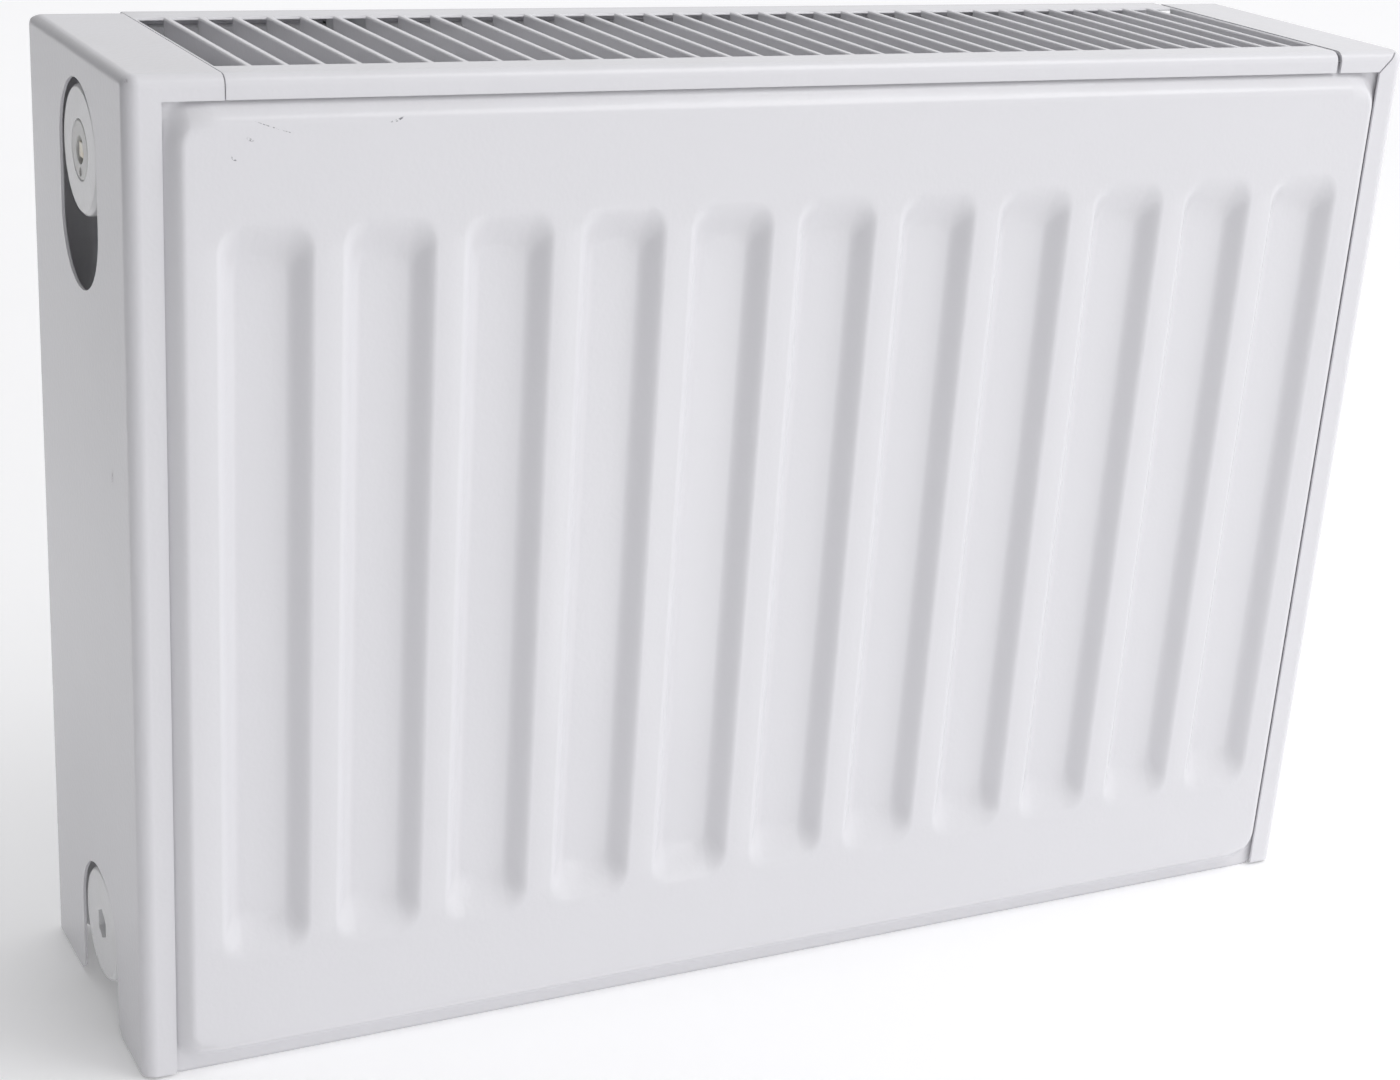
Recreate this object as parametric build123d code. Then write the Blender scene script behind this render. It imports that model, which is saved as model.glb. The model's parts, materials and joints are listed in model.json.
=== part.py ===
"""Type 22 steel panel radiator with side covers and a lift-off top grille.

Units are millimetres, +Z is up and the front faces -Y.
The origin is the middle of the bounding box's underside.
"""
import os

from build123d import *

# Whole radiator
width = 400.0
height = 280.0
depth_over_lugs = 110.0
face_proud = 3.0        # pressed faces stand this far in front of the cover flanges
cover_depth = 98.0
cover_front = -depth_over_lugs / 2 + face_proud
cover_back = cover_front + cover_depth

# Water panels: two pressed sheets welded at a flat seam
sheet = 1.2
raise_height = 5.0      # the pressing stands this far from its seam flange
panel_half_width = 194.0
panel_top = 276.5
seam_corner = 6.0
front_face = -depth_over_lugs / 2
rear_face = cover_back + 2.0
panel_thickness = 2 * (raise_height + sheet)

# Raised field of a pressed sheet, measured on its face
face_half_width = 186.6
face_bottom = 8.5
face_top = 269.0
face_corner = 6.0

# Vertical grooves between the water channels
groove_pitch = 33.1
groove_count = 11
groove_bottom = 36.0
groove_top = 243.0
mouth_half_width = 12.3
floor_half_width = 7.5
end_run = 9.5
mouth_corner = 7.0
floor_corner = 4.0

# Corner tees with G 1/2 female ports
port_z_offset = 27.0
port_y = -6.0
port_face_x = 188.0
tee_length = 28.0
tee_radius = 13.5
tee_end_wall = 3.0
port_radius = 9.3
port_depth = 12.0
chamber_radius = 8.0
arm_x = 170.0
arm_radius = 8.5
arm_bore = 5.5

# Convectors: corrugated fins welded on the inner faces
fin_sheet = 0.5
fin_depth = 36.0
fin_count = 10
fin_foot = 9.0
fin_crest = 17.0
fin_bottom = 32.0
fin_top = 248.0

# Side covers
cover_sheet = 0.8
bend_radius = 3.2       # along the top edges
side_bend = 4.0         # down the front and rear edges
cover_flange = 9.3
cover_top_width = 25.0
cover_rear_return = 8.0
cover_bottom = 1.0
rear_corner = 10.0
rear_corner_swell = 0.8
mitre_gap = 0.5
mitre_depth = 1.6
mitre_length = 19.0
opening_width = 37.0
opening_drop = 18.0     # lower centre of the upper opening, below the port's axis
notch_foot_corner = 5.0

# Top grille
grille_sheet = 0.8
fascia_bottom = 273.7
grille_left = -174.7
grille_right = 173.5
slot_count = 36
slot_width = 7.5
slot_front = -40.0
slot_back = 32.0
slot_flap = 5.6

# Spring clips
clip_sheet = 0.5
clip_gap = 3.2
clip_width = 14.0
clip_reach = 2.4
clip_clear = 0.5
clip_post_offset = 0.9
grille_clip_x = 110.0
cover_clip_z = (70.0, 205.0)

# Hanging lugs on the back
lug_x = 3 * groove_pitch
lug_sheet = 2.0
lug_height = 24.0
lug_z = (50.0, 200.0)
lug_foot = 8.0

# Plugs
plug_head_radius = 17.0
plug_head_face = 199.4
seal_thickness = 2.0
seal_radius = 13.0
shank_radius = 9.25
shank_length = 10.0
plug_chamfer = 1.0
seal_clearance = 0.2
hex_key = 8.0
hex_depth = 6.0
outlet_radius = 7.9
outlet_depth = 6.0
outlet_chamfer = 0.4
spout_radius = 1.2
spout_drop = 5.7        # spout hole, below the outlet's axis
screw_radius = 2.5
screw_head_radius = 3.6
screw_reach = 18.0      # from the plug's face to the screw's tip
key_half = 2.0
key_recess = 0.4
key_length = 2.0
running_gap = 0.05
end_gap = 0.1

# Cutting tools run this far past the faces that they cut
over = 1.0
beyond = 30.0


def box(x0, x1, y0, y1, z0, z1):
    """A box between opposite corners."""
    centre = ((x0 + x1) / 2, (y0 + y1) / 2, (z0 + z1) / 2)
    return Pos(*centre) * Box(abs(x1 - x0), abs(y1 - y0), abs(z1 - z0))


def cylinder_x(radius, x0, x1, y, z):
    """A cylinder along X."""
    return Pos((x0 + x1) / 2, y, z) * Rot(0, 90, 0) * Cylinder(radius, abs(x1 - x0))


def cylinder_y(radius, y0, y1, x, z):
    """A cylinder along Y."""
    return Pos(x, (y0 + y1) / 2, z) * Rot(90, 0, 0) * Cylinder(radius, abs(y1 - y0))


def outline(y, half_x, z0, z1, corner):
    """A rounded rectangle that stands upright in the plane at y."""
    place = Plane(origin=(0, y, (z0 + z1) / 2), x_dir=(1, 0, 0), z_dir=(0, -1, 0))
    return place * RectangleRounded(2 * half_x, z1 - z0, corner)


def raised_field(seam_y, face_y, shrink):
    """The pressed field with 45 degree sides, from its foot to its face."""
    rise = abs(face_y - seam_y)
    foot = outline(seam_y, face_half_width + rise - shrink, face_bottom - rise + shrink,
                   face_top + rise - shrink, face_corner + rise)
    crown = outline(face_y, face_half_width - shrink, face_bottom + shrink,
                    face_top - shrink, face_corner)
    return loft([foot, crown], ruled=True)


def groove_tool(seam_y, face_y, grow):
    """A groove's space, with sloped sides and longer sloped ends."""
    mouth = outline(face_y, mouth_half_width + grow, groove_bottom - grow,
                    groove_top + grow, mouth_corner)
    floor = outline(seam_y, floor_half_width + grow, groove_bottom + end_run - grow,
                    groove_top - end_run + grow, floor_corner)
    return loft([mouth, floor], ruled=True)


def groove_positions():
    """X of each groove's middle."""
    first = -(groove_count - 1) / 2
    return [(first + step) * groove_pitch for step in range(groove_count)]


def pressed_sheet(face_y, toward):
    """One pressed sheet. Its face is at face_y and its seam flange lies toward +Y or -Y."""
    flange_outer = face_y + toward * raise_height
    flange_inner = flange_outer + toward * sheet
    flange = extrude(outline(flange_outer, panel_half_width, 0, panel_top, seam_corner),
                     amount=-toward * sheet)
    body = flange + raised_field(flange_outer, face_y, 0)
    cavity = raised_field(flange_inner, face_y + toward * sheet, sheet / 2)
    outer_groove = groove_tool(flange_outer, face_y, 0)
    inner_groove = groove_tool(flange_inner, face_y + toward * sheet, sheet / 2)
    cavity -= [Pos(x, 0, 0) * inner_groove for x in groove_positions()]
    body -= [Pos(x, 0, 0) * outer_groove for x in groove_positions()]
    return body - cavity


def port_axes():
    """Name, side and height of the four corner tees."""
    low = port_z_offset
    high = height - port_z_offset
    return [("upper_left", -1, high), ("upper_right", 1, high),
            ("lower_left", -1, low), ("lower_right", 1, low)]


def inner_face(panel):
    """Y of a water panel's face that looks into the radiator."""
    if panel == "front":
        return front_face + panel_thickness
    return rear_face - panel_thickness


def with_water_ways(body):
    """A pressed inner sheet with a hole for each tee's arm."""
    for _, side, z in port_axes():
        body -= cylinder_y(arm_bore, front_face, rear_face, side * arm_x, z)
    return body


def tee(z):
    """Right corner tee: a barrel with the port, and an arm to each water panel."""
    end = port_face_x - tee_length
    chamber_end = port_face_x - port_depth
    body = cylinder_x(tee_radius, end, port_face_x, port_y, z)
    body += cylinder_y(arm_radius, inner_face("front"), inner_face("rear"), arm_x, z)
    body -= cylinder_x(port_radius, chamber_end, port_face_x, port_y, z)
    body -= cylinder_x(chamber_radius, end + tee_end_wall, chamber_end, port_y, z)
    return body - cylinder_y(arm_bore, inner_face("front"), inner_face("rear"), arm_x, z)


def convector(foot_y, toward):
    """A corrugated sheet with its feet on the water channels of one panel."""
    near = foot_y + toward * fin_sheet / 2
    far = foot_y + toward * (fin_depth - fin_sheet / 2)
    points = []
    for fin in range(fin_count):
        x = (fin - (fin_count - 1) / 2) * groove_pitch
        points += [(x - fin_foot / 2, near), (x + fin_foot / 2, near)]
        if fin < fin_count - 1:
            middle = x + groove_pitch / 2
            points += [(middle - fin_crest / 2, far), (middle + fin_crest / 2, far)]
    wave = trace(Polyline(*points), line_width=fin_sheet)
    return extrude(Pos(0, 0, fin_bottom) * wave, amount=fin_top - fin_bottom, dir=(0, 0, 1))


def cover_opening(z_low, z_high):
    """An upright slot through the left cover's web, between two arc centres."""
    place = Plane(origin=(-width / 2 - over, port_y, (z_low + z_high) / 2),
                  x_dir=(0, 0, 1), z_dir=(1, 0, 0))
    slot = place * SlotOverall(z_high - z_low + opening_width, opening_width)
    return extrude(slot, amount=cover_sheet + 2 * over)


def with_round_feet(body):
    """Rounds the web's two corners beside the notch that is open at the bottom."""
    half = opening_width / 2
    close = 0.01
    feet = [edge for edge in body.edges().filter_by(Axis.X)
            if abs(edge.center().Z - cover_bottom) < close
            and abs(abs(edge.center().Y - port_y) - half) < close]
    return fillet(feet, notch_foot_corner)


def rounded_block(inset):
    """The cover's outer form, or its inner form with an inset."""
    block = box(-width / 2 + inset, -width / 2 + cover_top_width + beyond, cover_front + inset,
                cover_back - inset, -beyond, height - inset)
    block = fillet(block.edges().filter_by(Axis.Z).sort_by(Axis.X)[:2], side_bend - inset)
    rim = block.faces().sort_by(Axis.Z)[-1].edges().sort_by(Axis.X)[:-1]
    return fillet(rim, bend_radius - inset)


def side_cover():
    """Left cover: web, front flange, top with its front tab, and rear return.

    The tab and the front flange meet in a closed mitre.
    """
    body = rounded_block(0) - rounded_block(cover_sheet)
    inner_x = -width / 2 + cover_top_width
    flange_x = -width / 2 + cover_flange
    return_x = -width / 2 + cover_rear_return
    front = cover_front - over
    back = cover_back + over
    far_x = inner_x + 2 * beyond
    body -= box(inner_x, far_x, front, back, -beyond, height + over)
    body -= box(flange_x, far_x, front, cover_front + side_bend, -beyond, fascia_bottom)
    body -= box(return_x, far_x, cover_back - side_bend, back, -beyond, height - side_bend)
    body -= box(-width, width, front, back, -beyond, cover_bottom)
    arc_y = cover_back - rear_corner
    arc_z = height - rear_corner
    corner = box(-width, width, arc_y, back, arc_z, height + over)
    corner -= cylinder_x(rear_corner + rear_corner_swell, -width - over, width + over,
                         arc_y, arc_z)
    body -= corner
    port_z = height - port_z_offset
    body -= cover_opening(port_z - opening_drop, port_z)
    body -= cover_opening(-beyond, port_z_offset)
    return with_round_feet(body)


def with_open_mitre(body):
    """Left cover whose tab and front flange don't quite meet."""
    mitre = Pos(-width / 2 + cover_flange, cover_front, fascia_bottom) * Rot(0, 45, 0)
    cut = Pos(over - mitre_length / 2, 0, 0) * Box(mitre_length, 2 * mitre_depth, mitre_gap)
    return body - mitre * cut


def slot_positions():
    """X of each grille slot's middle, spread evenly over the grille."""
    step = (grille_right - grille_left) / slot_count
    return [grille_left + (slot + 0.5) * step for slot in range(slot_count)]


def top_grille():
    """Slotted top plate with a bent front fascia, a rear skirt and turned-down slats."""
    foot = height - beyond
    outer = box(grille_left, grille_right, cover_front, cover_back, foot, height)
    inner = box(grille_left - over, grille_right + over, cover_front + grille_sheet,
                cover_back - grille_sheet, foot - over, height - grille_sheet)
    outer = fillet(outer.faces().sort_by(Axis.Z)[-1].edges().filter_by(Axis.X), bend_radius)
    inner = fillet(inner.faces().sort_by(Axis.Z)[-1].edges().filter_by(Axis.X),
                   bend_radius - grille_sheet)
    body = outer - inner
    body -= box(-width, width, cover_front - over, cover_back + over, foot - over, fascia_bottom)
    low = height - grille_sheet - slot_flap
    high = height - grille_sheet / 2
    slots = []
    flaps = []
    for x in slot_positions():
        left = x - slot_width / 2
        right = x + slot_width / 2
        slots.append(box(left, right, slot_front, slot_back, low - over, height + over))
        flaps.append(box(left - grille_sheet, left, slot_front, slot_back, low, high))
        flaps.append(box(right, right + grille_sheet, slot_front, slot_back, low, high))
    return body - slots + flaps


def clip_post(seam_y):
    """Y limits of a clip's post, on the side of the seam that faces the radiator's middle."""
    way = 1 if seam_y < 0 else -1
    return seam_y + way * clip_post_offset, seam_y + way * (clip_gap / 2 + clip_sheet)


def grille_clip(x, seam_y):
    """A spring clip that straddles the top seam of one water panel."""
    half = clip_width / 2
    gap = clip_gap / 2
    top = panel_top + clip_clear
    low = top - clip_reach
    body = box(x - half, x + half, seam_y - gap - clip_sheet, seam_y + gap + clip_sheet,
               low, top + clip_sheet)
    body -= box(x - half - over, x + half + over, seam_y - gap, seam_y + gap, low - over, top)
    near, far = clip_post(seam_y)
    return body + box(x - half, x + half, near, far, top, height - grille_sheet)


def cover_clip(z, seam_y):
    """A spring clip inside the left cover that grips one panel's side seam."""
    half = clip_width / 2
    gap = clip_gap / 2
    edge = -panel_half_width - clip_clear
    tip = edge + clip_reach
    web = -width / 2 + cover_sheet
    body = box(edge - clip_sheet, tip, seam_y - gap - clip_sheet, seam_y + gap + clip_sheet,
               z - half, z + half)
    body -= box(edge, tip + over, seam_y - gap, seam_y + gap, z - half - over, z + half + over)
    near, far = clip_post(seam_y)
    return body + box(web, edge, near, far, z - half, z + half)


def hanging_lug(x, z):
    """Hat-shaped strap welded over a groove on the back, open upwards and downwards."""
    top_y = depth_over_lugs / 2
    ridge = groove_pitch / 2
    feet = box(x - ridge - lug_foot / 2, x + ridge + lug_foot / 2, rear_face,
               rear_face + lug_sheet, z, z + lug_height)
    bridge_half = ridge - lug_foot / 2 + lug_sheet
    body = feet + box(x - bridge_half, x + bridge_half, rear_face, top_y, z, z + lug_height)
    clear = bridge_half - lug_sheet
    return body - box(x - clear, x + clear, rear_face - over, top_y - lug_sheet, z - over,
                      z + lug_height + over)


def seal_ring(z):
    """Flat seal between a left port's face and its plug."""
    outer_x = -port_face_x - seal_thickness
    ring = cylinder_x(seal_radius, outer_x, -port_face_x, port_y, z)
    hole = cylinder_x(shank_radius + seal_clearance, outer_x, -port_face_x, port_y, z)
    return ring - hole


def plug_blank(z):
    """A plug's round head and its shank in the left port."""
    seat = -port_face_x - seal_thickness
    head = cylinder_x(plug_head_radius, -plug_head_face, seat, port_y, z)
    head = chamfer(head.faces().sort_by(Axis.X)[0].edges(), plug_chamfer)
    return head + cylinder_x(shank_radius, seat, seat + seal_thickness + shank_length, port_y, z)


def blanking_plug(z):
    """Plug with a hexagon socket."""
    face = Plane(origin=(-plug_head_face, port_y, z), z_dir=(1, 0, 0))
    hexagon = RegularPolygon(hex_key / 2, 6, major_radius=False)
    socket = extrude(face * hexagon, amount=hex_depth)
    return plug_blank(z) - socket


def vent_plug(z):
    """Plug with a recess for the swivelling outlet and a bore for the bleed screw."""
    floor_x = -plug_head_face + outlet_depth
    shank_end = -port_face_x + shank_length
    body = plug_blank(z)
    body -= cylinder_x(outlet_radius, -plug_head_face - over, floor_x, port_y, z)
    return body - cylinder_x(screw_radius + running_gap, floor_x, shank_end + over, port_y, z)


def vent_outlet(z):
    """Swivelling disc in the vent plug, with a spout hole near its rim."""
    outer_x = -plug_head_face
    inner_x = outer_x + outlet_depth - end_gap
    front = outer_x - over
    back = inner_x + over
    body = cylinder_x(outlet_radius - running_gap, outer_x, inner_x, port_y, z)
    body = chamfer(body.faces().sort_by(Axis.X)[0].edges(), outlet_chamfer)
    body -= cylinder_x(screw_head_radius + running_gap, front, back, port_y, z)
    return body - cylinder_x(spout_radius, front, back, port_y, z - spout_drop)


def bleed_screw(z):
    """Bleed screw with a round head and a square key end."""
    key_x = -plug_head_face + key_recess
    head_x = key_x + key_length
    seat = -plug_head_face + outlet_depth - end_gap
    tip = -plug_head_face + screw_reach
    body = cylinder_x(screw_head_radius, head_x, seat, port_y, z)
    body += box(key_x, head_x, port_y - key_half, port_y + key_half, z - key_half, z + key_half)
    return body + cylinder_x(screw_radius, seat, tip, port_y, z)


def mirrored(body):
    """The right-hand twin of a left-hand piece."""
    return mirror(body, about=Plane.YZ)


def build_nodes():
    """Every piece of the radiator under its own name."""
    front_seam = front_face + panel_thickness / 2
    rear_seam = rear_face - panel_thickness / 2
    upper_z = height - port_z_offset
    nodes = {}

    nodes["front_panel_outer_sheet"] = pressed_sheet(front_face, 1)
    nodes["front_panel_inner_sheet"] = with_water_ways(pressed_sheet(inner_face("front"), -1))
    nodes["rear_panel_inner_sheet"] = with_water_ways(pressed_sheet(inner_face("rear"), 1))
    nodes["rear_panel_outer_sheet"] = pressed_sheet(rear_face, -1)
    nodes["front_convector"] = convector(inner_face("front"), 1)
    nodes["rear_convector"] = convector(inner_face("rear"), -1)
    for name, side, z in port_axes():
        nodes[name + "_tee"] = tee(z) if side > 0 else mirrored(tee(z))

    nodes["left_side_cover"] = side_cover()
    nodes["right_side_cover"] = mirrored(with_open_mitre(side_cover()))
    seams = (front_seam, rear_seam)
    clips = [cover_clip(z, y) for z in cover_clip_z for y in seams]
    nodes["left_cover_clips"] = Compound(clips)
    nodes["right_cover_clips"] = Compound([mirrored(clip) for clip in clips])
    nodes["top_grille"] = top_grille()
    nodes["grille_clips"] = Compound([grille_clip(x, y) for x in (-grille_clip_x, grille_clip_x)
                                      for y in seams])

    for level, z in zip(("lower", "upper"), lug_z):
        nodes[level + "_left_lug"] = hanging_lug(-lug_x, z)
        nodes[level + "_right_lug"] = hanging_lug(lug_x, z)

    nodes["vent_plug_body"] = vent_plug(upper_z)
    nodes["vent_plug_seal"] = seal_ring(upper_z)
    nodes["vent_outlet"] = vent_outlet(upper_z)
    nodes["bleed_screw"] = bleed_screw(upper_z)
    nodes["blanking_plug"] = blanking_plug(port_z_offset)
    nodes["blanking_plug_seal"] = seal_ring(port_z_offset)
    return nodes


os.makedirs("parts", exist_ok=True)
for node_name, solid in build_nodes().items():
    export_step(solid, f"parts/{node_name}.step")
    print(node_name, round(solid.volume, 1))
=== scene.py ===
import json
import math
import bmesh
import bpy
from mathutils import Matrix, Vector


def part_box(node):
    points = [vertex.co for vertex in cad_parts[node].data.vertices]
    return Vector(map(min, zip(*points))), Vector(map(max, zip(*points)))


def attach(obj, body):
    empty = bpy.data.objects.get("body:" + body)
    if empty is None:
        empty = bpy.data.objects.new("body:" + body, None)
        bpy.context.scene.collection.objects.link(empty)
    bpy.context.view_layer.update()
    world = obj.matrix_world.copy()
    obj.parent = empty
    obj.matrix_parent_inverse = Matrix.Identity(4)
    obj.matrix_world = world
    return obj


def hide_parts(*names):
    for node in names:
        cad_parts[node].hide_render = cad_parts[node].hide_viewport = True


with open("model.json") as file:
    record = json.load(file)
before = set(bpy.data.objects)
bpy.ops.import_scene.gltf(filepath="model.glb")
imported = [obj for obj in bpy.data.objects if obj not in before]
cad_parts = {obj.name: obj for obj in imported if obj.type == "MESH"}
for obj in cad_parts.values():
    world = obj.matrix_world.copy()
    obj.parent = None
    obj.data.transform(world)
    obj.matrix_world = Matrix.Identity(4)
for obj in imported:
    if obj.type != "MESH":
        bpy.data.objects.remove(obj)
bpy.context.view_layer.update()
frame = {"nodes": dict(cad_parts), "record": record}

mm = 0.001
scene = bpy.context.scene
nodes = frame["nodes"]
bodies = frame["record"]["behaviour"]["bodies"]
bodyOf = {node: body for body, members in bodies.items() for node in members}
print("frame loaded:", len(nodes), "nodes")


cameraSettings = {
    "place": (-0.3622, -0.6592, 0.3927),
    "yaw": 28.5,          # degrees, from straight ahead towards the right
    "pitch": -22.42,
    "roll": 3.99,
    "lens": 65.43,
    "sensor": 36,
    "shiftY": 0.084,
    "nearest": 0.01,      # metres
    "farthest": 50,
}


def placeCamera():
    s = cameraSettings
    camera = bpy.data.objects.new("camera", bpy.data.cameras.new("camera"))
    scene.collection.objects.link(camera)
    yaw, pitch, roll = (math.radians(s[key]) for key in ("yaw", "pitch", "roll"))
    turn = Matrix.Rotation(-yaw, 4, "Z") @ Matrix.Rotation(math.pi / 2 + pitch, 4, "X")
    camera.matrix_world = Matrix.Translation(s["place"]) @ turn @ Matrix.Rotation(roll, 4, "Z")
    camera.data.sensor_width = s["sensor"]
    camera.data.lens = s["lens"]
    camera.data.shift_y = s["shiftY"]
    camera.data.clip_start = s["nearest"]
    camera.data.clip_end = s["farthest"]
    camera.data.dof.use_dof = False
    scene.camera = camera


roomSettings = {
    "skyBase": 0.75,
    "skyTilt": (0.42, -0.18, 0.12),   # brighter to the right, to the front and above
    "skyTint": (0.985, 0.985, 1.0, 1),
    "lamps": {
        # name: (place, target, width, height, power, lights matt surfaces too)
        "overheadSoftbox": ((0.84, -0.72, 1.54), (0, 0, 0.15), 0.9, 0.9, 6.7, True),
        "lowGlossCard": ((0.06, -0.26, 0.075), (-0.09, -0.05, 0.14), 0.05, 0.2, 0.03, False),
    },
    "floorHalf": 9.0,
    # a dark card that stands to the left and keeps the light off the left cover's upper part
    "flag": {"place": (-0.68, -0.05, 0.78), "wide": 2.0, "high": 1.3},
}


def lightRoom():
    scene.view_settings.view_transform = "Standard"
    world = bpy.data.worlds.new("softRoom")
    scene.world = world
    world.use_nodes = True
    tree = world.node_tree
    background = tree.nodes["Background"]
    outward = addNode(tree, "ShaderNodeTexCoord").outputs["Generated"]
    tilt = addNode(tree, "ShaderNodeVectorMath", operation="DOT_PRODUCT")
    feed(tree, tilt, i0=outward, i1=roomSettings["skyTilt"])
    strength = sums(tree, "ADD", tilt.outputs["Value"], roomSettings["skyBase"])
    tree.links.new(strength, background.inputs["Strength"])
    background.inputs["Color"].default_value = roomSettings["skyTint"]
    for name, (place, target, wide, high, power, matt) in roomSettings["lamps"].items():
        lamp = bpy.data.lights.new(name, "AREA")
        lamp.shape = "RECTANGLE"
        lamp.size = wide
        lamp.size_y = high
        lamp.energy = power
        holder = bpy.data.objects.new(name, lamp)
        scene.collection.objects.link(holder)
        aim = (Vector(target) - Vector(place)).to_track_quat("-Z", "Y")
        holder.matrix_world = Matrix.Translation(place) @ aim.to_matrix().to_4x4()
        holder.visible_camera = False
        holder.visible_diffuse = matt


def addNode(tree, kind, **values):
    node = tree.nodes.new(kind)
    for key, value in values.items():
        setattr(node, key, value)
    return node


def feed(tree, node, **sources):
    # i0, i1 and so on name a socket by its number, anything else by its label
    for key, source in sources.items():
        socket = node.inputs[int(key[1:])] if key[0] == "i" and key[1:].isdigit() else node.inputs[key]
        if isinstance(source, bpy.types.NodeSocket):
            tree.links.new(source, socket)
        else:
            socket.default_value = source
    return node


def sums(tree, operation, first, second=0.0, clamp=False):
    node = addNode(tree, "ShaderNodeMath", operation=operation, use_clamp=clamp)
    return feed(tree, node, i0=first, i1=second).outputs[0]


def ramp(tree, value, low, high, floor=0.0, top=1.0):
    node = addNode(tree, "ShaderNodeMapRange", interpolation_type="SMOOTHSTEP")
    feed(tree, node, Value=value)
    for key, number in (("From Min", low), ("From Max", high), ("To Min", floor), ("To Max", top)):
        node.inputs[key].default_value = number
    return node.outputs["Result"]


def grain(tree, vector, scale, detail=2.0, roughness=0.5):
    node = addNode(tree, "ShaderNodeTexNoise")
    return feed(tree, node, Vector=vector, Scale=scale, Detail=detail, Roughness=roughness).outputs["Fac"]


def blendColours(tree, amount, first, second):
    node = addNode(tree, "ShaderNodeMix", data_type="RGBA")
    feed(tree, node, i0=amount, i6=first, i7=second)
    return node.outputs[2]


def startGroup(name, inputs, outputs):
    group = bpy.data.node_groups.new(name, "ShaderNodeTree")
    for label, kind, value in inputs:
        socket = group.interface.new_socket(label, in_out="INPUT", socket_type="NodeSocket" + kind)
        if value is not None:
            socket.default_value = value
    for label, kind in outputs:
        group.interface.new_socket(label, in_out="OUTPUT", socket_type="NodeSocket" + kind)
    inlet = group.nodes.new("NodeGroupInput")
    outlet = group.nodes.new("NodeGroupOutput")
    return group, inlet.outputs, outlet.inputs


def makeSkinRelief():
    # fine orange peel of a sprayed coat over the slow waves of thin sheet
    group, given, out = startGroup(
        "skinRelief",
        [("Vector", "Vector", None), ("Peel Scale", "Float", 520.0), ("Peel", "Float", 1.0),
         ("Wave Scale", "Float", 26.0), ("Wave", "Float", 1.0)],
        [("Height", "Float")])
    peel = sums(group, "MULTIPLY", grain(group, given["Vector"], given["Peel Scale"], 1.0), given["Peel"])
    wave = sums(group, "MULTIPLY", grain(group, given["Vector"], given["Wave Scale"], 0.0), given["Wave"])
    group.links.new(sums(group, "ADD", peel, wave), out["Height"])
    return group


def makeColourDrift():
    # large soft patches and a fine speckle in a coat's colour
    group, given, out = startGroup(
        "colourDrift",
        [("Vector", "Vector", None), ("Colour", "Color", (0.8, 0.8, 0.8, 1)),
         ("Shade", "Color", (0.7, 0.7, 0.7, 1)), ("Patch Scale", "Float", 9.0),
         ("Speck Scale", "Float", 900.0)],
        [("Colour", "Color")])
    patch = ramp(group, grain(group, given["Vector"], given["Patch Scale"], 3.0), 0.35, 0.75, 0.0, 0.5)
    speck = ramp(group, grain(group, given["Vector"], given["Speck Scale"], 1.0), 0.60, 0.80, 0.0, 0.35)
    amount = sums(group, "MAXIMUM", patch, speck)
    group.links.new(blendColours(group, amount, given["Colour"], given["Shade"]), out["Colour"])
    return group


def makeSettledDust():
    # dust lies on what faces upwards, in uneven patches
    group, given, out = startGroup(
        "settledDust",
        [("Vector", "Vector", None), ("Amount", "Float", 0.3), ("Scale", "Float", 60.0)],
        [("Mask", "Float")])
    facing = addNode(group, "ShaderNodeNewGeometry")
    split = addNode(group, "ShaderNodeSeparateXYZ")
    group.links.new(facing.outputs["Normal"], split.inputs[0])
    upwards = ramp(group, split.outputs["Z"], 0.35, 0.95)
    patches = ramp(group, grain(group, given["Vector"], given["Scale"], 6.0, 0.65), 0.38, 0.72)
    mask = sums(group, "MULTIPLY", sums(group, "MULTIPLY", upwards, patches), given["Amount"], True)
    group.links.new(mask, out["Mask"])
    return group


def makeScuffMark():
    # one short handling mark, broken up by noise
    group, given, out = startGroup(
        "scuffMark",
        [("Vector", "Vector", None), ("Centre", "Vector", (0, 0, 0)), ("Turn", "Float", 0.0),
         ("Half Length", "Float", 0.004), ("Half Width", "Float", 0.0005)],
        [("Mask", "Float")])
    shift = addNode(group, "ShaderNodeVectorMath", operation="SUBTRACT")
    feed(group, shift, i0=given["Vector"], i1=given["Centre"])
    turned = addNode(group, "ShaderNodeVectorRotate", rotation_type="Y_AXIS")
    feed(group, turned, Vector=shift.outputs[0], Angle=given["Turn"])
    split = addNode(group, "ShaderNodeSeparateXYZ")
    group.links.new(turned.outputs[0], split.inputs[0])
    along = sums(group, "DIVIDE", split.outputs["X"], given["Half Length"])
    alongSquared = sums(group, "MULTIPLY", along, along)
    bowed = sums(group, "MULTIPLY", alongSquared, given["Half Width"])
    across = sums(group, "DIVIDE", sums(group, "SUBTRACT", split.outputs["Z"], bowed), given["Half Width"])
    square = sums(group, "ADD", alongSquared, sums(group, "MULTIPLY", across, across))
    core = ramp(group, square, 0.3, 1.0, 1.0, 0.0)
    broken = ramp(group, grain(group, given["Vector"], 1500.0, 2.0), 0.42, 0.56)
    near = ramp(group, sums(group, "ABSOLUTE", split.outputs["Y"]), 0.001, 0.002, 1.0, 0.0)
    mask = sums(group, "MULTIPLY", sums(group, "MULTIPLY", core, broken), near)
    group.links.new(mask, out["Mask"])
    return group


effects = {}   # filled by makeMaterials


def useEffect(tree, name, vector, **values):
    node = addNode(tree, "ShaderNodeGroup", node_tree=effects[name])
    tree.links.new(vector, node.inputs["Vector"])
    for key, value in values.items():
        label = "".join(" " + c if c.isupper() else c for c in key).title()
        node.inputs[label].default_value = value
    return node.outputs[0]


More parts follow.
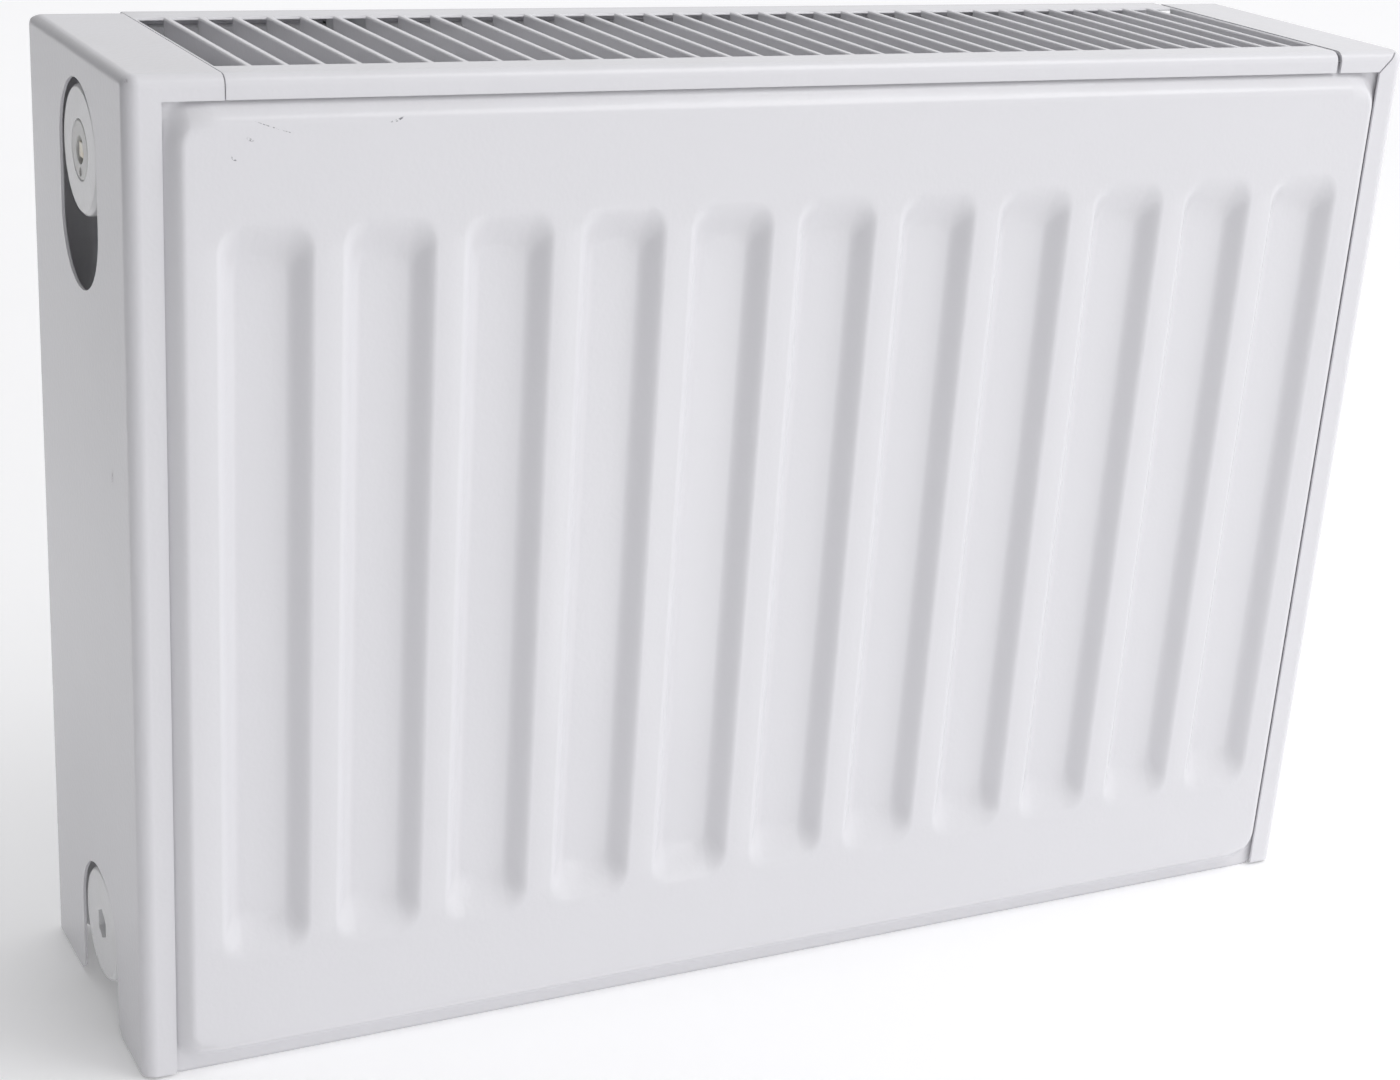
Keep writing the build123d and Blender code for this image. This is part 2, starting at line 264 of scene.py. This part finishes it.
def startMaterial(name, finish):
    material = bpy.data.materials.new(name)
    material.use_nodes = True
    tree = material.node_tree
    shader = tree.nodes["Principled BSDF"]
    for label in ("Metallic", "IOR", "Emission Strength"):
        if label in finish:
            shader.inputs[label].default_value = finish[label]
    vector = addNode(tree, "ShaderNodeTexCoord").outputs["Object"]
    return material, tree, shader, vector


smearSettings = {"scale": 14.0, "dulling": 0.35}   # soft patches of gloss; what dust and marks add


def finishMaterial(tree, shader, vector, finish, colour, marks=None):
    relief = useEffect(tree, "skinRelief", vector, **finish["relief"])
    bump = addNode(tree, "ShaderNodeBump")
    bump.inputs["Distance"].default_value = finish["bumpDistance"]
    bump.inputs["Strength"].default_value = finish["bumpStrength"]
    dust = useEffect(tree, "settledDust", vector, **finish["dust"])
    dull = sums(tree, "MAXIMUM", dust, marks) if marks else dust
    colour = blendColours(tree, dust, colour, finish["dustColour"])
    patches = grain(tree, vector, smearSettings["scale"], 3.0)
    smear = ramp(tree, patches, 0.35, 0.75, *finish["roughness"])
    dulled = sums(tree, "MULTIPLY", dull, smearSettings["dulling"])
    feed(tree, shader, Roughness=sums(tree, "ADD", smear, dulled, True))
    tree.links.new(relief, bump.inputs["Height"])
    tree.links.new(bump.outputs["Normal"], shader.inputs["Normal"])
    tree.links.new(colour, shader.inputs["Base Color"])


def makeCoat(name, finish):
    material, tree, shader, vector = startMaterial(name, finish)
    colour = useEffect(tree, "colourDrift", vector, **finish["drift"])
    marks = None
    if "scuffs" in finish:
        facing = addNode(tree, "ShaderNodeMapping")
        facing.inputs["Rotation"].default_value[2] = math.radians(finish["scuffTurn"])
        tree.links.new(vector, facing.inputs["Vector"])
    for x, z, turn, length, width in finish.get("scuffs", ()):
        mark = useEffect(tree, "scuffMark", facing.outputs[0], centre=(x, finish["scuffDepth"], z),
                         turn=math.radians(turn), halfLength=length, halfWidth=width)
        marks = sums(tree, "MAXIMUM", marks, mark) if marks else mark
    if marks:
        colour = blendColours(tree, marks, colour, finish["scuffColour"])
    finishMaterial(tree, shader, vector, finish, colour, marks)
    return material


enamelSettings = {
    "IOR": 1.5,
    "roughness": (0.19, 0.25),
    "relief": {"peelScale": 620.0, "peel": 0.25, "waveScale": 22.0, "wave": 1.0},
    "bumpDistance": 0.00035,
    "bumpStrength": 0.5,
    "drift": {"colour": (0.758, 0.753, 0.778, 1), "shade": (0.740, 0.735, 0.760, 1)},
    "dust": {"amount": 0.10, "scale": 45.0},
    "dustColour": (0.52, 0.50, 0.47, 1),
}

panelSettings = dict(
    enamelSettings,
    # mark: (place along the face, height, turn in degrees, half length, half width), in metres
    scuffs=[(-0.1313, 0.2683, 18, 0.0024, 0.00035), (-0.1697, 0.2646, -30, 0.0013, 0.00045),
            (-0.1738, 0.2599, -40, 0.0010, 0.0003), (-0.1630, 0.2672, -18, 0.0060, 0.00015)],
    scuffTurn=0,
    scuffDepth=-0.055,
    scuffColour=(0.22, 0.22, 0.24, 1),
)

coverSettings = dict(
    enamelSettings,
    scuffs=[(0.0162, 0.2700, 0, 0.0004, 0.0004), (0.0217, 0.1876, 0, 0.0006, 0.0005),
            (0.0297, 0.1878, 0, 0.0006, 0.0006), (0.0330, 0.1727, 80, 0.0022, 0.0008),
            (-0.0015, 0.2535, 70, 0.0020, 0.0004), (0.0502, 0.2785, 0, 0.0007, 0.0006)],
    scuffTurn=90,
    scuffDepth=-0.2,
    scuffColour=(0.40, 0.38, 0.41, 1),
)

innerSettings = dict(
    enamelSettings,
    roughness=(0.38, 0.5),
    drift={"colour": (0.84, 0.84, 0.85, 1), "shade": (0.80, 0.80, 0.81, 1)},
    dust={"amount": 0.25, "scale": 90.0},
)

plugSettings = dict(
    enamelSettings,
    roughness=(0.20, 0.26),
    relief={"peelScale": 1100.0, "peel": 0.5, "waveScale": 160.0, "wave": 0.4},
    bumpDistance=0.00015,
    drift={"colour": (0.82, 0.82, 0.83, 1), "shade": (0.74, 0.74, 0.74, 1), "patchScale": 90.0},
)

steelSettings = {
    "Metallic": 1.0,
    "roughness": (0.28, 0.42),
    "relief": {"peelScale": 1800.0, "peel": 0.6, "waveScale": 300.0, "wave": 0.4},
    "bumpDistance": 0.00008,
    "bumpStrength": 0.5,
    "drift": {"colour": (0.56, 0.57, 0.58, 1), "shade": (0.40, 0.40, 0.41, 1), "patchScale": 120.0},
    "dust": {"amount": 0.2, "scale": 200.0},
    "dustColour": (0.42, 0.40, 0.37, 1),
}

brassSettings = dict(  # nickel-plated, with the brass showing through in patches
    steelSettings,
    roughness=(0.30, 0.42),
    drift={"colour": (0.60, 0.58, 0.53, 1), "shade": (0.58, 0.46, 0.26, 1), "patchScale": 400.0},
)

rubberSettings = {
    "IOR": 1.48,
    "roughness": (0.55, 0.72),
    "relief": {"peelScale": 1500.0, "peel": 0.7, "waveScale": 220.0, "wave": 0.3},
    "bumpDistance": 0.0001,
    "bumpStrength": 0.6,
    "drift": {"colour": (0.030, 0.030, 0.032, 1), "shade": (0.055, 0.053, 0.05, 1), "patchScale": 150.0},
    "dust": {"amount": 0.3, "scale": 300.0},
    "dustColour": (0.30, 0.29, 0.27, 1),
}

plasticSettings = dict(
    rubberSettings,
    roughness=(0.34, 0.46),
    drift={"colour": (0.76, 0.76, 0.75, 1), "shade": (0.70, 0.69, 0.67, 1), "patchScale": 200.0},
    dustColour=(0.5, 0.48, 0.44, 1),
)

floorSettings = {
    "IOR": 1.45,
    "Emission Strength": 0.18,   # keeps the floor pale where the radiator shades it
    "roughness": (0.55, 0.68),
    "relief": {"peelScale": 90.0, "peel": 0.3, "waveScale": 4.0, "wave": 0.5},
    "bumpDistance": 0.0004,
    "bumpStrength": 0.4,
    "drift": {"colour": (0.93, 0.93, 0.935, 1), "shade": (0.90, 0.90, 0.905, 1), "patchScale": 0.8,
              "speckScale": 60.0},
    "dust": {"amount": 0.03, "scale": 12.0},
    "dustColour": (0.72, 0.72, 0.72, 1),
}


def makeMaterials():
    effects.update(skinRelief=makeSkinRelief(), colourDrift=makeColourDrift(),
                   settledDust=makeSettledDust(), scuffMark=makeScuffMark())
    finishes = {
        "panelEnamel": panelSettings, "coverEnamel": coverSettings, "innerEnamel": innerSettings,
        "plugEnamel": plugSettings, "clipSteel": steelSettings, "screwBrass": brassSettings,
        "sealRubber": rubberSettings, "outletPlastic": plasticSettings, "floorCoat": floorSettings,
    }
    return {name: makeCoat(name, finish) for name, finish in finishes.items()}


def placeMesh(bm, name, material):
    mesh = bpy.data.meshes.new(name)
    bm.to_mesh(mesh)
    bm.free()
    placed = bpy.data.objects.new(name, mesh)
    scene.collection.objects.link(placed)
    mesh.materials.append(materials[material])
    return placed


def makePiece(bm, name, node, material, replaced=()):
    piece = placeMesh(bm, name, material)
    piece.data.shade_smooth()
    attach(piece, bodyOf[node])
    if replaced:
        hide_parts(*replaced)
    return piece


def evenShading(piece):
    # big flat faces keep their own normal, so that only the rounded edges turn the light
    modifier = piece.modifiers.new("evenShading", "WEIGHTED_NORMAL")
    modifier.mode = "FACE_AREA"
    modifier.weight = 100
    modifier.keep_sharp = False


# how a designed piece is read: points this close are one (mm), faces this flat are one (degrees),
# and an edge is sharp from this angle on
copySettings = {"weld": 0.002, "flat": 0.6, "sharp": 35}


def weldedCopy(node):
    bm = bmesh.new()
    bm.from_mesh(nodes[node].data)
    bmesh.ops.remove_doubles(bm, verts=bm.verts, dist=copySettings["weld"] * mm)
    return bm


def joinFlatFaces(bm, **limits):
    bmesh.ops.dissolve_limit(bm, angle_limit=math.radians(copySettings["flat"]), verts=bm.verts,
                             edges=bm.edges, **limits)


def sharpEdges(bm, degrees=copySettings["sharp"]):
    limit = math.radians(degrees)
    return [e for e in bm.edges if e.is_manifold and e.calc_face_angle(0) > limit]


def roundEdges(bm, edges, radius, segments):
    bmesh.ops.bevel(bm, geom=edges, offset=radius * mm, offset_type="OFFSET", affect="EDGES",
                    segments=segments, profile=0.5, material=-1, clamp_overlap=True)


# the four pressed water-panel sheets
panelShape = {
    "rise": 5.0,             # field above the seam flange
    "sheet": 1.2,
    "fieldHalf": 186.6,
    "fieldBottom": 8.5,
    "fieldTop": 269.0,
    "fieldCorner": 6.0,
    "pitch": 33.1,
    "grooves": 11,
    "grooveBottom": 36.0,
    "grooveTop": 243.0,
    "mouthHalf": 12.3,
    "sideRun": 4.8,
    "endRun": 9.5,
    "mouthCorner": 7.0,
    "floorCorner": 4.0,
    "soft": 0.15,            # how far the bends reach past the slopes, as a share of the run
    "fieldSoft": 0.14,
    "flangeCorner": 6.0,
    "fine": 0.7,
    "fineUp": 0.95,
    "coarse": 4.5,
    "coarseUp": 14.0,
}


def softCorner(x, z, half, halfUp, corner):
    # turns the square corner of a flat grid into a quarter of a disc
    u, v = (abs(x) - half + corner) / corner, (abs(z) - halfUp + corner) / corner
    if u <= 0 or v <= 0:
        return x, z
    reach = max(u, v)
    angle = math.pi / 4 * v / u if u >= v else math.pi / 2 - math.pi / 4 * u / v
    return (math.copysign(half - corner + reach * math.cos(angle) * corner, x),
            math.copysign(halfUp - corner + reach * math.sin(angle) * corner, z))


def outlineLevel(x, z, half, halfUp, run, runUp, corner, floorCorner):
    # 0 on the outer outline and 1 on the inner one, with round corners between them
    gap = corner - floorCorner
    a = abs(x) - half + corner
    b = abs(z) - halfUp + corner
    side = -(a - corner) / run
    end = -(b - corner) / runUp
    level = min(side, end)
    slope, slopeUp = run - gap, runUp - gap
    if a + slope * level > 0 and b + slopeUp * level > 0:
        q2 = slope ** 2 + slopeUp ** 2 - gap ** 2
        q1 = a * slope + b * slopeUp + corner * gap
        q0 = a * a + b * b - corner ** 2
        under = q1 * q1 - q2 * q0
        if under > 0:
            level = min(level, (math.sqrt(under) - q1) / q2)
    return level


def softStep(level, soft):
    t = min(1.0, max(0.0, (level + soft) / (1 + 2 * soft)))
    return t * t * (3 - 2 * t)


def pressedHeight(x, z):
    s = panelShape
    middle = (s["fieldTop"] + s["fieldBottom"]) / 2
    rise = s["rise"]
    field = outlineLevel(x, z - middle, s["fieldHalf"] + rise, (s["fieldTop"] - s["fieldBottom"]) / 2 + rise,
                         rise, rise, s["fieldCorner"] + rise, s["fieldCorner"])
    height = softStep(field, s["fieldSoft"])
    nearest = round(x / s["pitch"])
    nearest = max(-(s["grooves"] // 2), min(s["grooves"] // 2, nearest))
    middle = (s["grooveTop"] + s["grooveBottom"]) / 2
    groove = outlineLevel(x - nearest * s["pitch"], z - middle, s["mouthHalf"],
                          (s["grooveTop"] - s["grooveBottom"]) / 2, s["sideRun"], s["endRun"],
                          s["mouthCorner"], s["floorCorner"])
    return height - softStep(groove, s["soft"])


def stations(low, high, busy, fine, coarse):
    # positions from low to high, close together on the busy stretches
    spots = [low]
    while spots[-1] < high:
        here = spots[-1]
        ahead = [a for a, b in busy if a > here + fine / 2]
        if any(a - fine / 2 <= here < b for a, b in busy):
            here += fine
        else:
            limit = min(ahead + [high])
            steps = max(1, round((limit - here) / coarse))
            here += (limit - here) / steps
        spots.append(min(here, high))
    if spots[-1] - spots[-2] < fine / 3:
        del spots[-2]
    return spots


def makePressedSheet(name, node, outward, material, looseness):
    s = panelShape
    low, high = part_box(node)
    half, top = high.x / mm, high.z / mm
    face = (low.y if outward < 0 else high.y) / mm
    wall = s["sideRun"] * (1 + s["soft"])
    start = s["mouthHalf"] + s["sideRun"] * s["soft"]
    busy = [(-half, -s["fieldHalf"] + 2), (s["fieldHalf"] - 2, half)]
    for k in range(s["grooves"]):
        x = (k - s["grooves"] // 2) * s["pitch"]
        busy += [(x - start, x - start + wall * 1.2), (x + start - wall * 1.2, x + start)]
    ends = s["endRun"] + s["mouthCorner"]
    rows = [(0, s["fieldBottom"] + s["fieldCorner"]), (s["grooveBottom"] - 3, s["grooveBottom"] + ends),
            (s["grooveTop"] - ends, s["grooveTop"] + 3), (s["fieldTop"] - s["fieldCorner"], top)]
    across = stations(-half, half, sorted(busy), s["fine"] * looseness, s["coarse"])
    upward = stations(0, top, rows, s["fineUp"] * looseness, s["coarseUp"])
    bm = bmesh.new()
    bmesh.ops.create_grid(bm, x_segments=len(across) - 1, y_segments=len(upward) - 1, size=0.5)
    for v in bm.verts:
        x = across[round((v.co.x + 0.5) * (len(across) - 1))]
        z = upward[round((v.co.y + 0.5) * (len(upward) - 1))]
        y = face - outward * s["rise"] * (1 - pressedHeight(x, z))
        x, z = softCorner(x, z - top / 2, half, top / 2, s["flangeCorner"])
        v.co = Vector((x, y, z + top / 2)) * mm
    bmesh.ops.recalc_face_normals(bm, faces=bm.faces)
    middleFace = min(bm.faces, key=lambda f: (f.calc_center_median() - Vector((0, face * mm, 0.02))).length)
    if middleFace.normal.y * outward < 0:
        bmesh.ops.reverse_faces(bm, faces=bm.faces)
    bmesh.ops.solidify(bm, geom=bm.faces, thickness=s["sheet"] * mm)
    return makePiece(bm, name, node, material, [node])


# the two corrugated convectors
finShape = {"sheet": 0.5, "pitch": 33.1, "fins": 10, "foot": 9.0, "crest": 17.0, "bend": 2.2}


def makeConvector(name, node, toward):
    s = finShape
    low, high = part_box(node)
    near = (low.y if toward > 0 else high.y) + toward * s["sheet"] * mm / 2
    far = (high.y if toward > 0 else low.y) - toward * s["sheet"] * mm / 2
    bm = bmesh.new()
    path = []
    for fin in range(s["fins"]):
        x = (fin - (s["fins"] - 1) / 2) * s["pitch"]
        path += [(x - s["foot"] / 2, near), (x + s["foot"] / 2, near)]
        if fin < s["fins"] - 1:
            middle = x + s["pitch"] / 2
            path += [(middle - s["crest"] / 2, far), (middle + s["crest"] / 2, far)]
    verts = [bm.verts.new((x * mm, y, low.z)) for x, y in path]
    edges = [bm.edges.new(pair) for pair in zip(verts, verts[1:])]
    drawn = bmesh.ops.extrude_edge_only(bm, edges=edges)["geom"]
    lifted = [g for g in drawn if isinstance(g, bmesh.types.BMVert)]
    bmesh.ops.translate(bm, verts=lifted, vec=(0, 0, high.z - low.z))
    folds = [e for e in bm.edges if len(e.link_faces) == 2]
    roundEdges(bm, folds, s["bend"], 4)
    bmesh.ops.recalc_face_normals(bm, faces=bm.faces)
    bmesh.ops.solidify(bm, geom=bm.faces, thickness=s["sheet"] * mm)
    bmesh.ops.translate(bm, verts=bm.verts, vec=(0, (near + far) / 2 - middleY(bm), 0))
    return makePiece(bm, name, node, "innerEnamel", [node])


def middleY(bm):
    ys = [v.co.y for v in bm.verts]
    return (min(ys) + max(ys)) / 2


# folded, turned and stamped pieces that keep the designed form and get rounded, coated edges
roundedPieces = {
    # node: (edge radius in mm, segments, material, slot)
    "left_side_cover": (0.22, 2, "coverEnamel", "cover_white"),
    "right_side_cover": (0.22, 2, "coverEnamel", "cover_white"),
    "left_cover_clips": (0.12, 2, "clipSteel", "spring_steel"),
    "right_cover_clips": (0.12, 2, "clipSteel", "spring_steel"),
    "grille_clips": (0.12, 2, "clipSteel", "spring_steel"),
    "upper_left_tee": (0.5, 2, "panelEnamel", "painted_white"),
    "upper_right_tee": (0.5, 2, "panelEnamel", "painted_white"),
    "lower_left_tee": (0.5, 2, "panelEnamel", "painted_white"),
    "lower_right_tee": (0.5, 2, "panelEnamel", "painted_white"),
    "upper_left_lug": (0.45, 3, "panelEnamel", "painted_white"),
    "upper_right_lug": (0.45, 3, "panelEnamel", "painted_white"),
    "lower_left_lug": (0.45, 3, "panelEnamel", "painted_white"),
    "lower_right_lug": (0.45, 3, "panelEnamel", "painted_white"),
    "vent_plug_body": (0.35, 3, "plugEnamel", "plug_white"),
    "blanking_plug": (0.35, 3, "plugEnamel", "plug_white"),
    "vent_plug_seal": (0.35, 3, "sealRubber", "seal_rubber"),
    "blanking_plug_seal": (0.35, 3, "sealRubber", "seal_rubber"),
    "vent_outlet": (0.2, 2, "outletPlastic", "outlet_plastic"),
    "bleed_screw": (0.2, 2, "screwBrass", "screw_brass"),
}


# the open right ports: bored out to the root of the thread, with the thread wound inside
portShape = {
    "minor": 9.3, "root": 10.45, "y": -6.0, "inner": 176.0, "heights": {"upper": 253.0, "lower": 27.0},
    "pitch": 1.814, "turns": 5.6, "first": 177.1, "steps": 56, "rootHalf": 0.82, "crestHalf": 0.22,
    "near": 0.05,
}


def boreOut(bm, z):
    s = portShape
    for v in bm.verts:
        up, side = v.co.z / mm - z, v.co.y / mm - s["y"]
        reach = math.hypot(up, side)
        if abs(reach - s["minor"]) < s["near"] and v.co.x / mm > s["inner"] - s["near"]:
            v.co.y = (s["y"] + side * s["root"] / reach) * mm
            v.co.z = (z + up * s["root"] / reach) * mm


def makeThread(name, node, z):
    s = portShape
    bm = bmesh.new()
    root, crest = s["root"] + s["near"], s["minor"] + s["near"]
    profile = [(-s["rootHalf"], root), (-s["crestHalf"], crest),
               (s["crestHalf"], crest), (s["rootHalf"], root)]
    verts = [bm.verts.new(((s["first"] + x) * mm, s["y"] * mm, (z + reach) * mm)) for x, reach in profile]
    face = bm.faces.new(verts)
    steps = round(s["steps"] * s["turns"])
    bmesh.ops.spin(bm, geom=[face], cent=(0, s["y"] * mm, z * mm), axis=(1, 0, 0),
                   dvec=(s["pitch"] / s["steps"] * mm, 0, 0), angle=math.tau * s["turns"], steps=steps)
    bmesh.ops.recalc_face_normals(bm, faces=bm.faces)
    piece = makePiece(bm, name, node, "panelEnamel")
    evenShading(piece)


def makeRounded(node, radius, segments, material, slotName):
    bm = weldedCopy(node)
    joinFlatFaces(bm)
    if node in ("upper_right_tee", "lower_right_tee"):
        low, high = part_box(node)
        boreOut(bm, (low.z + high.z) / 2 / mm)
    roundEdges(bm, sharpEdges(bm), radius, segments)
    piece = makePiece(bm, node + "_finished", node, material, [node])
    evenShading(piece)
    return piece


# the top grille, whose slot mouths are bent down with a round lip
grilleShape = {
    "lip": 0.62, "lipSegments": 4,
    "edge": 0.14, "edgeAngle": 50,
    "slots": 36, "slotFront": -40.0, "slotBack": 32.0,
    "near": 0.05,            # how far from its place an edge still counts as a lip
}


def makeGrille():
    s = grilleShape
    bm = weldedCopy("top_grille")
    low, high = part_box("top_grille")
    step = (high.x - low.x) / s["slots"]
    for slot in range(s["slots"]):   # each slot is cut in half, so that no flat face has a hole in it
        everything = bm.verts[:] + bm.edges[:] + bm.faces[:]
        cut = bmesh.ops.bisect_plane(bm, geom=everything, dist=0.001 * mm, plane_no=(1, 0, 0),
                                     plane_co=(low.x + (slot + 0.5) * step, 0, 0))["geom_cut"]
        for part in cut:
            if isinstance(part, bmesh.types.BMEdge):
                part.seam = True
    joinFlatFaces(bm, delimit={"SEAM"})
    first, last = (s["slotFront"] - s["near"]) * mm, (s["slotBack"] + s["near"]) * mm
    lips = [e for e in sharpEdges(bm)
            if all(abs(v.co.z - high.z) < s["near"] * mm and first < v.co.y < last for v in e.verts)]
    roundEdges(bm, lips, s["lip"], s["lipSegments"])
    roundEdges(bm, sharpEdges(bm, s["edgeAngle"]), s["edge"], 1)
    piece = makePiece(bm, "top_grille_finished", "top_grille", "coverEnamel", ["top_grille"])
    evenShading(piece)
    return piece


# the flattened nuggets that hold the hanging lugs' feet
weldShape = {
    "radius": 2.3, "rise": 0.3, "sheet": 2.0, "fromEdge": 4.0, "heights": (6.0, 18.0),
    "around": 28, "upward": 14,   # segments
}


def makeLugWelds():
    s = weldShape
    bm = bmesh.new()
    for node in ("upper_left_lug", "upper_right_lug", "lower_left_lug", "lower_right_lug"):
        low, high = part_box(node)
        for x in (low.x + s["fromEdge"] * mm, high.x - s["fromEdge"] * mm):
            for up in s["heights"]:
                place = Matrix.Translation((x, low.y + s["sheet"] * mm, low.z + up * mm))
                size = Matrix.Diagonal((s["radius"] * mm, s["rise"] * mm, s["radius"] * mm, 1))
                bmesh.ops.create_uvsphere(bm, u_segments=s["around"], v_segments=s["upward"], radius=1,
                                          matrix=place @ size)
    makePiece(bm, "lug_welds", "upper_left_lug", "panelEnamel")


placeCamera()
lightRoom()
materials = makeMaterials()
print("camera, light and materials ready")

makePressedSheet("front_sheet_pressed", "front_panel_outer_sheet", -1, "panelEnamel", 1.0)
makePressedSheet("rear_sheet_pressed", "rear_panel_outer_sheet", 1, "panelEnamel", 1.2)
makePressedSheet("front_inner_sheet_pressed", "front_panel_inner_sheet", 1, "innerEnamel", 1.9)
makePressedSheet("rear_inner_sheet_pressed", "rear_panel_inner_sheet", -1, "innerEnamel", 1.9)
print("pressed sheets done")

makeConvector("front_convector_folded", "front_convector", 1)
makeConvector("rear_convector_folded", "rear_convector", -1)
print("convectors done")

for node, values in roundedPieces.items():
    makeRounded(node, *values)
makeGrille()
for level, z in portShape["heights"].items():
    makeThread(level + "_port_thread", level + "_right_tee", z)
makeLugWelds()
print("rounded pieces, threads and welds done")


def makeStagePiece(name, material, place):
    bm = bmesh.new()
    bmesh.ops.create_grid(bm, x_segments=8, y_segments=8, size=1, matrix=place)
    staged = placeMesh(bm, name, material)
    return staged


def makeStage():
    half = roomSettings["floorHalf"]
    makeStagePiece("floor", "floorCoat", Matrix.Diagonal((half, half, 1, 1)))
    card = roomSettings["flag"]
    size = Matrix.Diagonal((card["high"] / 2, card["wide"] / 2, 1, 1))
    upright = Matrix.Translation(card["place"]) @ Matrix.Rotation(math.pi / 2, 4, "Y") @ size
    flag = makeStagePiece("flag", "sealRubber", upright)
    flag.visible_camera = False
    flag.visible_shadow = False


makeStage()
print("stage done")
